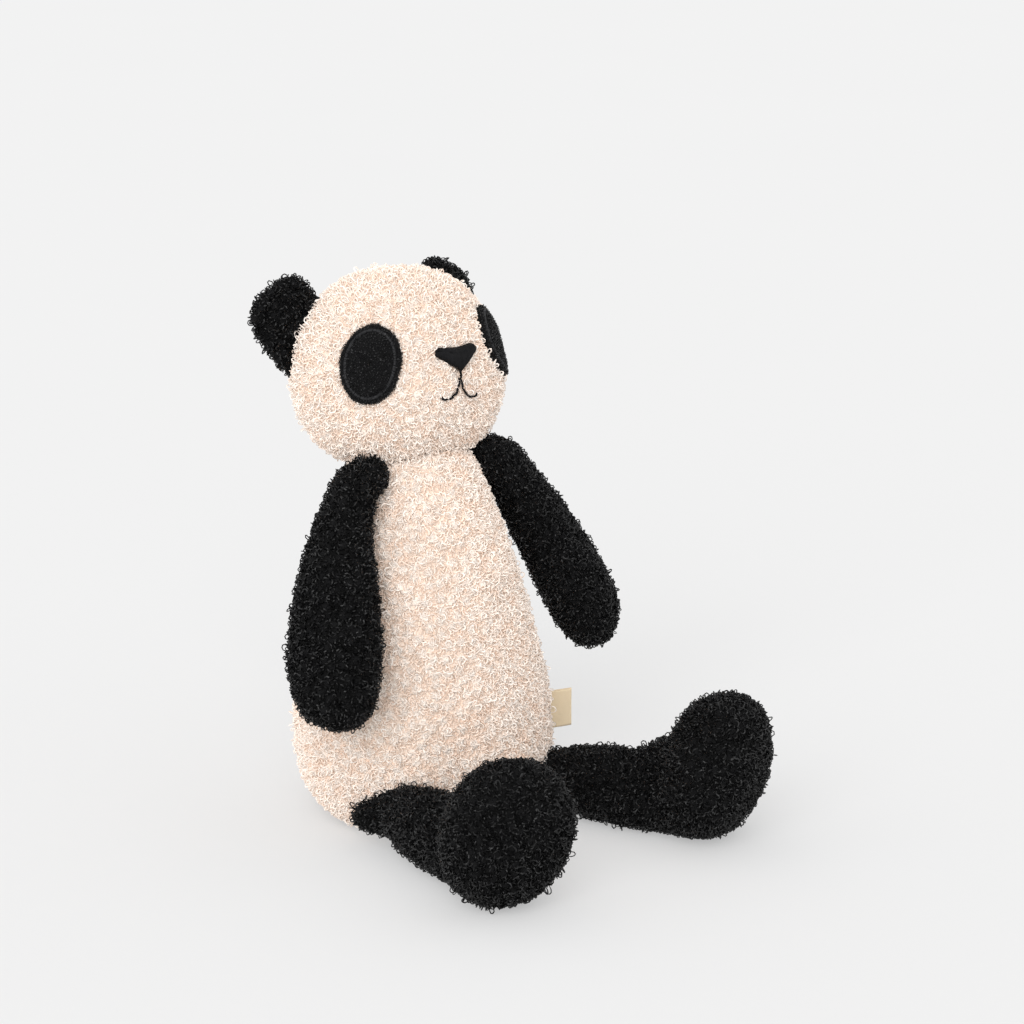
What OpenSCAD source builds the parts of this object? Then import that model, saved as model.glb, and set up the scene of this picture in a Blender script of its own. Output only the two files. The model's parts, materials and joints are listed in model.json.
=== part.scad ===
// Plush panda sitting on the floor, its face towards -Y and its own left side at +X.
// The origin is the middle of the flat seat. Sizes in millimetres, angles in degrees.
// A heading is measured from straight ahead (-Y) towards the panda's left (+X).

/* [Body] */
// Width of the flat seat
seat_w = 77; // [70:1:84]
// Depth of the flat seat
seat_d = 74; // [67:1:80]
// Width across the hips
hip_w = 131.5; // [126:0.5:138]
// Depth across the hips
hip_d = 126; // [120:1:132]
// Height of the widest place
hip_z = 34; // [30:1:38]
// Width under the collar, between the arms
collar_w = 60; // [57:1:64]
// Depth under the collar
collar_d = 76; // [72:1:80]
// How late the body draws in on its way up
body_taper = 1.85; // [1.5:0.05:2.1]
// Thickness of the pile fabric
cloth = 3; // [2:0.1:3.5]

/* [Neck] */
// Height of the point that the head turns about
neck_z = 186; // [180:1:192]
// That point's distance behind the middle of the seat
neck_back = 15.5; // [12:0.5:19]
// Radius of the stuffed neck stub
neck_r = 19; // [17:0.5:21]
// How far the head and the collar tip back
head_tip = 11.6; // [8:0.2:14]
// Gap for nodding between the collar's rim and the head
nod_room = 6; // [5:0.25:8]

/* [Head] */
// Width of the head
head_w = 106; // [100:1:112]
// Depth of the head
head_d = 98; // [93:1:103]
// Height of the head
head_h = 97.5; // [93:0.5:102]
// Height of the head's middle over the neck point
head_rise = 38; // [36:0.5:41]
// Turn of the face towards the panda's left
head_turn = 3; // [-5:0.5:8]
// Fullness of the cheeks below the middle
cheek = 0.1; // [0.05:0.01:0.14]
// Squareness of the head's upright outline
head_square = 2.4; // [2.1:0.05:2.6]

/* [Ears] */
// Heading of an ear's middle on the head
ear_az = 115; // [110:1:120]
// Height angle of an ear's middle on the head
ear_el = 26; // [21:1:31]
// Heading that an ear sticks out to
ear_out_az = 95; // [88:1:102]
// Height angle that an ear sticks out to
ear_out_el = 48; // [42:1:54]
// Reach of an ear from its middle
ear_reach = 28; // [25:0.5:31]
// Width of an ear along its seam
ear_w = 40; // [36:1:44]
// Thickness of an ear
ear_t = 14; // [11:0.5:17]

/* [Eyes] */
// Width of an eye patch
eye_w = 29; // [25:0.5:33]
// Height of an eye patch
eye_h = 37.5; // [34:0.5:41]
// Lean of an eye patch towards the nose
eye_lean = 14; // [8:1:20]
// Heading of the right eye patch
right_eye_az = 51; // [47:1:55]
// Heading of the left eye patch
left_eye_az = 48; // [44:1:52]
// Height angle of the right eye patch
right_eye_el = 4; // [1:0.5:7]
// Height angle of the left eye patch
left_eye_el = 7; // [4:0.5:10]
// Thickness of an eye patch
patch_t = 1.5; // [1:0.1:2]
// Distance from the patch's edge to its stitched border
border_in = 2.4; // [1.8:0.1:3]
// Width of the stitched border
border_w = 2.2; // [1.6:0.1:2.8]
// Height of the stitched border over the patch
border_t = 0.7; // [0.5:0.1:1]

/* [Nose and mouth] */
// Width of the nose
nose_w = 23.5; // [20:0.5:27]
// Height of the nose
nose_h = 10.5; // [9:0.5:12]
// Height of the nose's top over the head's middle
nose_z = 7; // [5:0.5:9]
// Thickness of the nose's stitching
nose_t = 2; // [1.5:0.1:2.5]
// Radius of the nose's upper corners
nose_corner = 2.4; // [2:0.1:3]
// Gap between the nose and the mouth's line
mouth_gap = 1.6; // [1:0.1:2.2]
// Length of the mouth's upright line
mouth_line = 6; // [5:0.2:7.4]
// Radius of the mouth's two arcs
mouth_r = 6.8; // [5.8:0.2:7.8]
// Angle that each arc spans
mouth_arc = 128; // [110:2:140]
// Width of the mouth's thread
mouth_w = 1.4; // [1.1:0.1:1.8]
// Height of the mouth's thread over the face
mouth_t = 1; // [0.7:0.1:1.4]

/* [Arms] */
// Reach of an arm from the shoulder to the tip
arm_len = 122; // [114:1:130]
// Width of the hand
arm_w = 42.5; // [39:0.5:46]
// Thickness of the hand
arm_t = 27; // [24:0.5:30]
// Radius of the arm's root
arm_root = 11.3; // [10.5:0.1:12]
// How far along the arm the hand is at its full width
arm_grow = 76; // [66:1:86]
// Length of the round end
arm_end = 23; // [19:1:27]
// Outward bow of an arm
arm_bow = 3.5; // [1:0.5:7]
// Heading of the shoulders on the body
shoulder_az = 71.5; // [68:0.5:76]
// Upward slope of the shoulder seams
shoulder_el = 24; // [20:1:28]
// Distance of the shoulder seams below the collar
shoulder_drop = 6; // [4:0.5:8]
// Lift of the right arm from hanging straight down
right_arm_tilt = 28.5; // [26:0.5:34]
// Heading of the right arm
right_arm_az = 45; // [40:1:60]
// Heading of the right arm's flat side
right_arm_flat = 35; // [25:1:45]
// Lift of the left arm from hanging straight down
left_arm_tilt = 32; // [29:0.5:37]
// Heading of the left arm
left_arm_az = 86; // [76:1:96]
// Heading of the left arm's flat side
left_arm_flat = 42; // [32:1:52]

/* [Legs] */
// Distance of a hip from the middle plane
hip_out = 44.3; // [42:0.1:47]
// Distance of a hip in front of the seat's middle
hip_front = 39; // [36:0.5:42]
// Radius of the leg's root
leg_root = 13; // [12:0.1:14]
// Radius of the leg
leg_r = 18.6; // [17:0.1:20]
// How far along the leg it is at its full radius
leg_grow = 37; // [33:1:43]
// Height of the leg's axis over the floor
leg_z = 18.2; // [17:0.1:19]
// Reach of the leg's straight part
leg_len = 73; // [67:1:79]
// Distance of the foot's middle from the hip
foot_at = 93.5; // [87:0.5:99]
// Depth of the foot from heel to sole
foot_d = 45; // [41:1:49]
// Width of the foot
foot_w = 68; // [62:1:74]
// Height of the foot from the floor to the toes
foot_h = 75; // [70:1:80]
// Squareness of the foot's side outline
foot_square = 2.3; // [2:0.05:2.6]
// Heading of the right leg
right_leg_az = 3; // [-2:1:10]
// Heading of the left leg
left_leg_az = 27; // [20:1:34]

/* [Seams and label] */
// Thickness of the seam thread
thread = 0.8; // [0.6:0.05:1]
// Clearance between soft pieces that move on each other
slack = 0.6; // [0.4:0.05:0.9]
// Diameter of the ring of stitches at a shoulder
shoulder_ring = 5.6; // [4.4:0.2:6.4]
// Diameter of the ring of stitches at a hip
hip_ring = 10; // [8:0.2:11]
// Room for a hip seam between the leg's root and the body
hip_room = 2.6; // [2.2:0.1:3.2]
// Height of the label's middle on the left side seam
label_z = 42; // [36:1:60]
// Height of the label
label_h = 19.5; // [16:0.5:23]
// Reach of the label out of the seam
label_out = 15.5; // [12:0.5:19]
// Thickness of the folded tape
label_t = 1.3; // [1:0.1:1.6]

/* [Hidden] */

cream = "#EFDDCD";
black = "#1C1C1E";
thread_black = "#121214";
fibre = "#FBFAF6";
tape = "#DBC3A6";

// Sides that a body ring, a limb ring and a limb filling's ring have
body_sides = 24;
limb_sides = 16;
core_sides = 10;
// Columns of the rings on which the side seams and the head's seam run
body_seam = 5;
head_seam = 8;
// Deep enough for a cutter to reach from a face feature into the head
cut_deep = 40;

function ease(t) = let (u = min(1, max(0, t))) u * u * (3 - 2 * u);
function unit(v) = v / norm(v);
// The direction at a heading and a height angle
function aim(az, el) = [sin(az) * cos(el), -cos(az) * cos(el), sin(el)];
// The larger of two sizes, blended where they are alike
function blend_max(a, b) = pow(pow(max(a, 0), 6) + pow(max(b, 0), 6), 1 / 6);
// A ring of points about a middle, anticlockwise seen from where u x v points
function ring(middle, u, v, sides) =
    [for (k = [0:sides - 1]) middle + u * cos(360 * k / sides) + v * sin(360 * k / sides)];

// Solid between a first point, rings of points and a last point
module skin(form) {
    rings = form[1];
    sides = len(rings[0]);
    top = len(rings) - 1;
    at = function (r, k) 2 + r * sides + k % sides;
    polyhedron(
        concat([form[0], form[2]], [for (points = rings) each points]),
        concat(
            [for (k = [0:sides - 1]) [0, at(0, k), at(0, k + 1)]],
            [for (r = [0:top - 1], k = [0:sides - 1]) each [
                [at(r, k), at(r + 1, k), at(r + 1, k + 1)],
                [at(r, k), at(r + 1, k + 1), at(r, k + 1)]]],
            [for (k = [0:sides - 1]) [1, at(top, k + 1), at(top, k)]]));
}

// Fabric panel between an outer and an inner skin, from one column to another.
// Without first points the panel stays open there and ends in an edge.
module panel(outer, inner, from, to) {
    rings = len(outer[1]);
    all = len(outer[1][0]);
    cols = to - from;
    open = is_undef(outer[0]);
    strip = function (form) [for (points = form[1], c = [0:cols]) points[(from + c + all) % all]];
    out = function (r, c) r * (cols + 1) + c;
    in = function (r, c) (rings + r) * (cols + 1) + c;
    ends = 2 * rings * (cols + 1);
    // Outer and inner points up one edge of the panel, ends included
    out_edge = function (c) concat(
        open ? [] : [ends + 2], [for (r = [0:rings - 1]) out(r, c)], [ends]);
    in_edge = function (c) concat(
        open ? [] : [ends + 3], [for (r = [0:rings - 1]) in(r, c)], [ends + 1]);
    wall = function (o, i) [for (r = [0:len(o) - 2]) each [
        [o[r], o[r + 1], i[r + 1]], [o[r], i[r + 1], i[r]]]];
    turned = function (faces) [for (f = faces) [f[0], f[2], f[1]]];
    sheet = function (at, last) concat(
        [for (r = [0:rings - 2], c = [0:cols - 1]) each [
            [at(r, c), at(r + 1, c), at(r + 1, c + 1)],
            [at(r, c), at(r + 1, c + 1), at(r, c + 1)]]],
        [for (c = [0:cols - 1]) [last, at(rings - 1, c + 1), at(rings - 1, c)]]);
    foot = function (at, first) [for (c = [0:cols - 1]) [first, at(0, c), at(0, c + 1)]];
    rim = [for (c = [0:cols - 1]) each [
        [in(0, c), out(0, c), out(0, c + 1)], [in(0, c), out(0, c + 1), in(0, c + 1)]]];
    polyhedron(
        concat(strip(outer), strip(inner), [outer[2], inner[2]], open ? [] : [outer[0], inner[0]]),
        concat(
            sheet(out, ends), turned(sheet(in, ends + 1)),
            open ? rim : concat(foot(out, ends + 2), turned(foot(in, ends + 3))),
            wall(out_edge(cols), in_edge(cols)),
            turned(wall(out_edge(0), in_edge(0)))));
}

// Body: rings along a straight middle line that leans back to the collar
neck = [0, neck_back, neck_z];
neck_up = [0, sin(head_tip), cos(head_tip)];
// Latitudes on the neck stub at which it meets the collar and the neck seam lies round it
waist_lat = -47;
neck_seam_lat = -34;
// The rolled rim lies inside the collar and rises over it
rim_in = 4;
rim_rise = 2.2;
// Underside of the head at a distance from its axis, seen from the neck point
function head_under(r) =
    head_rise - head_h / 2 * pow(1 - pow(r / (head_d / 2 * (1 + cheek)), head_square), 1 / head_square);
rim_drop = nod_room - head_under(collar_d / 2 - rim_in);
collar_drop = rim_drop + rim_rise;
collar = neck - neck_up * collar_drop;
// Half size of the body at a height: the round bottom, then the tapering sides
function body_half(seat, hip, top, z) =
    z < hip_z
        ? seat + (hip - seat) * sqrt(1 - pow(1 - z / hip_z, 2))
        : hip - (hip - top) * pow((z - hip_z) / (collar.z - hip_z), body_taper);
function body_middle(z) = collar * z / collar.z;

// The legs' roots sit in hollows of the body
hip_az = atan2(hip_out, hip_front + body_middle(leg_z).y);
hip_reach = norm([hip_out, hip_front + body_middle(leg_z).y]);
hollow_span = asin((leg_root + hip_room) / hip_reach);
hollow_deep = body_half(seat_w / 2, hip_w / 2, collar_w / 2, leg_z) - (hip_reach - leg_root - hip_room);
hollow_top = leg_z + leg_root + hip_room;
hollow_fade = 13;
function hollow(az, z) =
    hollow_deep
    * (1 - ease((abs(abs(az) - hip_az) - hollow_span) / hollow_span))
    * ease(z / (leg_z - leg_root))
    * (1 - ease((z - hollow_top) / hollow_fade));

function body_point(az, z, inset) =
    let (
        lean = head_tip * ease(2 * z / collar.z - 1),
        dent = hollow(az, z) + inset,
        a = body_half(seat_w / 2, hip_w / 2, collar_w / 2, z) - dent,
        b = body_half(seat_d / 2, hip_d / 2, collar_d / 2, z) - dent
    )
    body_middle(z) + [a * sin(az), -b * cos(az) * cos(lean), b * cos(az) * sin(lean)];
// Heading of a column, from -180 to 180
function column_az(k) = 360 * (k > body_sides / 2 ? k - body_sides : k) / body_sides;
function side_ring(z, inset) = [for (k = [0:body_sides - 1]) body_point(column_az(k), z, inset)];
// Ring square to the neck, with its height from the neck point and its half sizes
function neck_ring(up, a, b) = ring(
    neck + neck_up * up, [0, -cos(head_tip), sin(head_tip)] * b, [a, 0, 0], body_sides);
// The collar dips from its rolled rim to the foot of the neck stub
function dip_ring(share, inset) =
    let (
        foot_r = neck_r * cos(waist_lat) - inset,
        foot_up = neck_r * sin(waist_lat) - inset
    )
    neck_ring(
        foot_up + (-rim_drop - inset - foot_up) * share * share,
        foot_r + (collar_w / 2 - rim_in - inset - foot_r) * share,
        foot_r + (collar_d / 2 - rim_in - inset - foot_r) * share);
function stub_ring(lat, inset) = neck_ring(
    (neck_r - inset) * sin(lat), (neck_r - inset) * cos(lat), (neck_r - inset) * cos(lat));
function body_form(inset) = [
    [0, 0, inset],
    concat(
        [for (t = [0:22.5:90]) side_ring(inset + (hip_z - inset) * (1 - cos(t)), inset)],
        [for (t = [1:8]) side_ring(hip_z + (collar.z - hip_z) * t / 8, inset)],
        [for (share = [1, 0.5, 0]) dip_ring(share, inset)],
        [for (lat = [-30, 0, 30, 60]) stub_ring(lat, inset)]),
    neck + neck_up * (neck_r - inset)
];

module body_front_panel() {
    color(cream) panel(body_form(0), body_form(cloth), -body_seam, body_seam);
}
module body_back_panel() {
    color(cream) panel(body_form(0), body_form(cloth), body_seam, body_sides - body_seam);
}
module body_filling() {
    color(fibre) skin(body_form(cloth));
}

// Head: rings about its own axis, open round the neck stub
head_rings = 14;
// The opening lies outside the neck stub
hole_r = neck_r + 1.5;
socket_r = neck_r + slack + 0.1;
function head_ring(q, grow) =
    let (
        up = sign(q) * pow(abs(sin(q)), 2 / head_square),
        wide = pow(cos(q), 2 / head_square) * (1 - cheek * up)
    )
    ring(
        [0, 0, (head_h / 2 + grow) * up],
        [0, -(head_d / 2 + grow) * wide, 0], [(head_w / 2 + grow) * wide, 0, 0], body_sides);
function hole_lat(grow) =
    -acos(pow(hole_r / ((head_w / 2 + grow) * (1 + cheek)), head_square / 2));
function head_sides(from, grow) =
    [for (r = [0:head_rings - 1]) head_ring(from + (90 - from) * r / head_rings, grow)];
function head_top(grow) = [0, 0, head_h / 2 + grow];
function head_cover(grow) = [undef, head_sides(hole_lat(grow), grow), head_top(grow)];
// The same skin closed below, to trim what is sewn onto the head
function head_shape(grow) =
    [[0, 0, -head_h / 2 - grow], head_sides(hole_lat(grow), grow), head_top(grow)];
function socket_ring(lat) = ring(
    [0, 0, socket_r * sin(lat) - head_rise],
    [0, -socket_r * cos(lat), 0], [socket_r * cos(lat), 0, 0], body_sides);
function head_core() = [
    [0, 0, socket_r - head_rise],
    concat([for (lat = [60, 30, 0]) socket_ring(lat)], head_sides(hole_lat(-cloth), -cloth)),
    head_top(-cloth)
];

module in_head() {
    translate(neck) rotate([-head_tip, 0, 0]) rotate([0, 0, head_turn])
        translate([0, 0, head_rise]) children();
}
// What lies between two offsets of the head's skin, inside a flat outline seen from a direction
module on_head(az, el, from, to) {
    in_head() difference() {
        intersection() {
            skin(head_shape(to));
            rotate([90 - el, 0, az]) translate([0, 0, head_d / 2 - cut_deep])
                linear_extrude(2 * cut_deep) children();
        }
        skin(head_shape(from));
    }
}

module head_face_panel() {
    color(cream) in_head() panel(head_cover(0), head_cover(-cloth), -head_seam, head_seam);
}
module head_back_panel() {
    color(cream) in_head() panel(head_cover(0), head_cover(-cloth), head_seam, body_sides - head_seam);
}
module head_filling() {
    color(fibre) in_head() skin(head_core());
}

// Point on the head's skin in a direction, found along the ring that the height angle picks
function head_point(az, el) =
    let (
        reach = pow(
            pow(norm([2 * sin(az) * cos(el) / head_w, 2 * cos(az) * cos(el) / head_d]), head_square)
            + pow(abs(2 * sin(el) / head_h), head_square), -1 / head_square)
    )
    aim(az, el) * reach;

// Ears: lenses cut by the head
function ear_form(side) =
    let (
        middle = head_point(side * ear_az, ear_el),
        out = aim(side * ear_out_az, ear_out_el),
        along = unit([0, 0, 1] - out * out.z),
        thick = cross(out, along) * ear_t / 2
    )
    [
        middle - thick,
        [for (lat = [-60, -30, 0, 30, 60]) ring(
            middle + thick * sin(lat), out * ear_reach * cos(lat), along * ear_w / 2 * cos(lat), limb_sides)],
        middle + thick
    ];
module ear(side) {
    color(black) in_head() difference() {
        skin(ear_form(side));
        skin(head_shape(0));
    }
}
module right_ear() { ear(-1); }
module left_ear() { ear(1); }

// Eye patches with a stitched border near the edge
module oval(w, h) {
    polygon([for (k = [0:body_sides - 1]) [
        w / 2 * cos(360 * k / body_sides), h / 2 * sin(360 * k / body_sides)]]);
}
module eye_patch(side, az, el) {
    color(black) on_head(side * az, el, 0, patch_t) rotate(side * eye_lean) oval(eye_w, eye_h);
}
module eye_border(side, az, el) {
    outer = 2 * border_in;
    inner = outer + 2 * border_w;
    color(thread_black) on_head(side * az, el, patch_t, patch_t + border_t) rotate(side * eye_lean)
        difference() {
            oval(eye_w - outer, eye_h - outer);
            oval(eye_w - inner, eye_h - inner);
        }
}
module right_eye_patch() { eye_patch(-1, right_eye_az, right_eye_el); }
module left_eye_patch() { eye_patch(1, left_eye_az, left_eye_el); }
module right_eye_border() { eye_border(-1, right_eye_az, right_eye_el); }
module left_eye_border() { eye_border(1, left_eye_az, left_eye_el); }

// Nose and mouth, stitched onto the face
module nose() {
    tip_r = nose_corner * 1.2;
    color(thread_black) on_head(0, 0, 0, nose_t) translate([0, nose_z]) hull() {
        for (x = [-1, 1]) translate([x * (nose_w / 2 - nose_corner), -nose_corner])
            circle(nose_corner, $fn = 16);
        translate([0, tip_r - nose_h]) circle(tip_r, $fn = 16);
    }
}
module mouth_thread() {
    top = nose_z - nose_h - mouth_gap;
    steps = 12;
    // One arc of the mouth, from an angle to its corner
    arc = function (r, from) [for (k = [0:steps]) let (a = from + (180 + mouth_arc - from) * k / steps)
        [mouth_r + r * cos(a), r * sin(a) - mouth_line]];
    flip = function (list) [for (k = [len(list) - 1:-1:0]) list[k]];
    inner = mouth_r - mouth_w / 2;
    outer = mouth_r + mouth_w / 2;
    // Half the mouth's outline, from the line's top round an arc to the point between both arcs
    half = concat([[mouth_w / 2, 0]], arc(inner, 180), flip(arc(outer, 180 + acos(mouth_r / outer))));
    last = len(half) - 1;
    other = [for (k = [last - 1:-1:0]) [-half[k][0], half[k][1]]];
    color(thread_black) on_head(0, 0, 0, mouth_t) translate([0, top]) polygon(concat(half, other));
}

// Arms: flat tubes that widen to a round hand, with a ball-shaped root
function shoulder_out(side) = aim(side * shoulder_az, shoulder_el);
function shoulder(side) =
    body_point(side * shoulder_az, collar.z - shoulder_drop, 0)
    + shoulder_out(side) * (arm_root + slack + thread / 2);
function arm_form(side, tilt, az, flat, inset, sides, steps) =
    let (
        down = [side * sin(tilt) * sin(az), -sin(tilt) * cos(az), -cos(tilt)],
        face = [side * sin(flat), -cos(flat), 0],
        normal = unit(face - down * (face * down)),
        across = cross(normal, down),
        len = arm_len - inset,
        root = arm_root - inset,
        end_at = arm_len - arm_end,
        place = function (s)
            shoulder(side) + down * s + across * side * arm_bow * sin(180 * max(s, 0) / arm_len),
        swell = function (s, full) root + (full - inset - root) * ease(s / arm_grow),
        shut = function (s) sqrt(1 - pow(max(s - end_at, 0) / (len - end_at), 2.2)),
        cut = function (s, w, h) ring(place(s), across * w, normal * h, sides)
    )
    [
        place(-root),
        concat(
            [for (lat = [-60, -30]) cut(root * sin(lat), root * cos(lat), root * cos(lat))],
            [for (k = [0:steps]) let (s = end_at * k / steps)
                cut(s, swell(s, arm_w / 2), swell(s, arm_t / 2))],
            [for (a = [35, 60, 78]) let (s = end_at + (len - end_at) * sin(a))
                cut(s, swell(s, arm_w / 2) * shut(s), swell(s, arm_t / 2) * shut(s))]),
        place(len)
    ];
function right_arm_form(inset, sides, steps) =
    arm_form(-1, right_arm_tilt, right_arm_az, right_arm_flat, inset, sides, steps);
function left_arm_form(inset, sides, steps) =
    arm_form(1, left_arm_tilt, left_arm_az, left_arm_flat, inset, sides, steps);
module right_arm() {
    color(black) difference() {
        skin(right_arm_form(0, limb_sides, 8));
        skin(right_arm_form(cloth, core_sides, 4));
    }
}
module left_arm() {
    color(black) difference() {
        skin(left_arm_form(0, limb_sides, 8));
        skin(left_arm_form(cloth, core_sides, 4));
    }
}
module right_arm_filling() {
    color(fibre) skin(right_arm_form(cloth, core_sides, 4));
}
module left_arm_filling() {
    color(fibre) skin(left_arm_form(cloth, core_sides, 4));
}

// Legs: tubes that lie on the floor, each ending in an upright foot
function hip(side) = [side * hip_out, -hip_front, leg_z];
function leg_form(side, az, inset, sides, steps) =
    let (
        ahead = [side * sin(az), -cos(az), 0],
        aside = cross(ahead, [0, 0, 1]),
        up = [0, 0, 1],
        root = leg_root - inset,
        half_d = foot_d / 2 - inset,
        foot_up = foot_h / 2 - leg_z,
        tip = foot_at + half_d,
        tube = function (s)
            (root + (leg_r - inset - root) * ease(s / leg_grow))
            * sqrt(max(0, 1 - pow(max(s - leg_len, 0) / half_d, 2))),
        foot = function (s)
            pow(max(0, 1 - pow(abs(s - foot_at) / half_d, foot_square)), 1 / foot_square),
        cut = function (s) let (
                high = blend_max(tube(s), foot_up * sign(foot(s)) + (foot_h / 2 - inset) * foot(s)),
                low = -min(leg_z - inset, blend_max(tube(s), (foot_h / 2 - inset) * foot(s) - foot_up)),
                wide = blend_max(tube(s), (foot_w / 2 - inset) * foot(s))
            )
            ring(
                hip(side) + ahead * s + up * (high + low) / 2,
                up * (high - low) / 2, aside * wide, sides)
    )
    [
        hip(side) - ahead * root,
        concat(
            [for (lat = [-60, -30]) ring(
                hip(side) + ahead * root * sin(lat), up * root * cos(lat), aside * root * cos(lat), sides)],
            [for (k = [0:steps]) cut((foot_at - half_d) * k / steps)],
            [for (k = [1:steps - 1]) cut(foot_at - half_d * cos(180 * k / steps))]),
        hip(side) + ahead * tip + up * foot_up
    ];
module right_leg() {
    color(black) difference() {
        skin(leg_form(-1, right_leg_az, 0, limb_sides, 7));
        skin(leg_form(-1, right_leg_az, cloth, core_sides, 5));
    }
}
module left_leg() {
    color(black) difference() {
        skin(leg_form(1, left_leg_az, 0, limb_sides, 7));
        skin(leg_form(1, left_leg_az, cloth, core_sides, 5));
    }
}
module right_leg_filling() {
    color(fibre) skin(leg_form(-1, right_leg_az, cloth, core_sides, 5));
}
module left_leg_filling() {
    color(fibre) skin(leg_form(1, left_leg_az, cloth, core_sides, 5));
}

// Seams: a ring of thread round each soft joint, on the body's side of it
module thread_ring(ball_r, ring_r) {
    reach = ball_r + slack / 2 + thread / 2;
    color(thread_black) translate([0, 0, -sqrt(reach * reach - ring_r * ring_r)])
        rotate_extrude() translate([ring_r, 0]) circle(d = thread, $fn = 24);
}
module neck_seam() {
    translate(neck) rotate([-head_tip, 0, 0]) thread_ring(neck_r, neck_r * cos(neck_seam_lat));
}
module shoulder_seam(side) {
    translate(shoulder(side)) rotate([0, 90 - shoulder_el, side * shoulder_az - 90])
        thread_ring(arm_root, shoulder_ring / 2);
}
module hip_seam(side, az) {
    translate(hip(side)) rotate([0, 90, side * az - 90]) thread_ring(leg_root, hip_ring / 2);
}
module right_shoulder_seam() { shoulder_seam(-1); }
module left_shoulder_seam() { shoulder_seam(1); }
module right_hip_seam() { hip_seam(-1, right_leg_az); }
module left_hip_seam() { hip_seam(1, left_leg_az); }

// Label: folded tape caught in the left side seam
label_az = column_az(body_seam);
module side_label() {
    color(tape) difference() {
        translate(body_point(label_az, label_z, 0)) rotate(label_az - 90) translate([0, 0, -label_h / 2])
            linear_extrude(label_h) {
                translate([-hip_room, -label_t / 2]) square([label_out + hip_room - label_t / 2, label_t]);
                translate([label_out - label_t / 2, 0]) circle(d = label_t, $fn = 24);
            }
        skin(body_form(0));
    }
}

body_front_panel();
body_back_panel();
body_filling();
head_face_panel();
head_back_panel();
head_filling();
right_ear();
left_ear();
right_eye_patch();
left_eye_patch();
right_eye_border();
left_eye_border();
nose();
mouth_thread();
right_arm();
left_arm();
right_arm_filling();
left_arm_filling();
right_leg();
left_leg();
right_leg_filling();
left_leg_filling();
neck_seam();
right_shoulder_seam();
left_shoulder_seam();
right_hip_seam();
left_hip_seam();
side_label();
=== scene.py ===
"""Looks of a sitting plush panda: stuffed covers under a pile of yarn curls, with a stitched face."""

import json
import math

import bpy
import numpy as np
from mathutils import Matrix, Vector
from mathutils.bvhtree import BVHTree
from mathutils.kdtree import KDTree


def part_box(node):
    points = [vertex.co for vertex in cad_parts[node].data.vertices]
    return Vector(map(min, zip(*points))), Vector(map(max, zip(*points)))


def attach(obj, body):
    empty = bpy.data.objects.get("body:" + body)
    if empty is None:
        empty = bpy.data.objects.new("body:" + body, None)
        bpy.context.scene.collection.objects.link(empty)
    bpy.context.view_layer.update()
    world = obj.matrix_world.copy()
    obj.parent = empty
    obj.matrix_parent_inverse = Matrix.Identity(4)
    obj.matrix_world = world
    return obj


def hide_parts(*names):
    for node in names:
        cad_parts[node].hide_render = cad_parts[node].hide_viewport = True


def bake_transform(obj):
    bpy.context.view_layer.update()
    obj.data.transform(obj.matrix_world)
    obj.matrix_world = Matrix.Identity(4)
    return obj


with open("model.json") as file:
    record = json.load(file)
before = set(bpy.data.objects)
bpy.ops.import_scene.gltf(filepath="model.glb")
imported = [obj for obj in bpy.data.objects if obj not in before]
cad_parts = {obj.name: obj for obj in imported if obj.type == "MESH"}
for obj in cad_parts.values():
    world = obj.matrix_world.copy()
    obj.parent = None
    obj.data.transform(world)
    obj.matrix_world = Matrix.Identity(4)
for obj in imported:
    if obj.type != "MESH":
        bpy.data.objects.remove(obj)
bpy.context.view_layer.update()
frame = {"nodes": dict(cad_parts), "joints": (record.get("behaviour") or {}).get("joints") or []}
MM = 0.001

# Sizes in millimetres, angles in degrees and exponents of the round forms; NECK is in metres
CLOTH = 3.0
SEAT = (77.0, 74.0)
HIP = (131.5, 126.0)
HIP_Z = 34.0
COLLAR = (60.0, 76.0)
COLLAR_AT = (0.0, 13.2, 174.8)
BODY_TAPER = 1.85
BODY_SEAM_AZ = 75.0
NECK = Vector((0, 15.5, 186)) * MM
HEAD_TIP = 11.6
HEAD_TURN = 3.0
HEAD_RISE = 38.0
HEAD_SEAM_AZ = 120.0
HEAD_HALF = (53.0, 49.0, 48.75)
HEAD_SQUARE = 2.4
EAR_AZ = 115.0
EAR_EL = 26.0
EAR_OUT_AZ = 95.0
EAR_OUT_EL = 55.0
EAR_HALF = (26.2, 20.0, 7.0)
EAR_SQUARE = 4.0
EAR_SUNK = 1.2
ANKLE = 47.0
ANKLE_Z = 33.0
FOOT_DEEP = 45.0
ARM_ROOT = 11.3
LEG_ROOT = 13.0
LEG_TAIL_HALF = (12.0, 9.0, 9.0)
ANKLE_HALF = (18.0, 15.0, 12.0)
HIP_HOLLOW_TOP = 75.0
COLLAR_PAD_HALF = (29.0, 36.0, 9.0)
COLLAR_PAD_DOWN = 12.0
HEAD_PAD_HALF = (22.0, 22.0, 10.0)
UP = Vector((0, 0, 1))
AXES = (Vector((1, 0, 0)), Vector((0, 1, 0)), UP)
SIDES = (("right", -1), ("left", 1))

NECK_UP = Vector((0, math.sin(math.radians(HEAD_TIP)), math.cos(math.radians(HEAD_TIP))))
HEAD = (
    Matrix.Translation(NECK)
    @ Matrix.Rotation(math.radians(-HEAD_TIP), 4, "X")
    @ Matrix.Rotation(math.radians(HEAD_TURN), 4, "Z")
    @ Matrix.Translation((0, 0, HEAD_RISE * MM))
)


def aim(az, el):
    """Direction at a heading from the front and a height, in degrees."""
    a, e = math.radians(az), math.radians(el)
    return Vector((math.sin(a) * math.cos(e), -math.cos(a) * math.cos(e), math.sin(e)))


# Meshes


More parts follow.
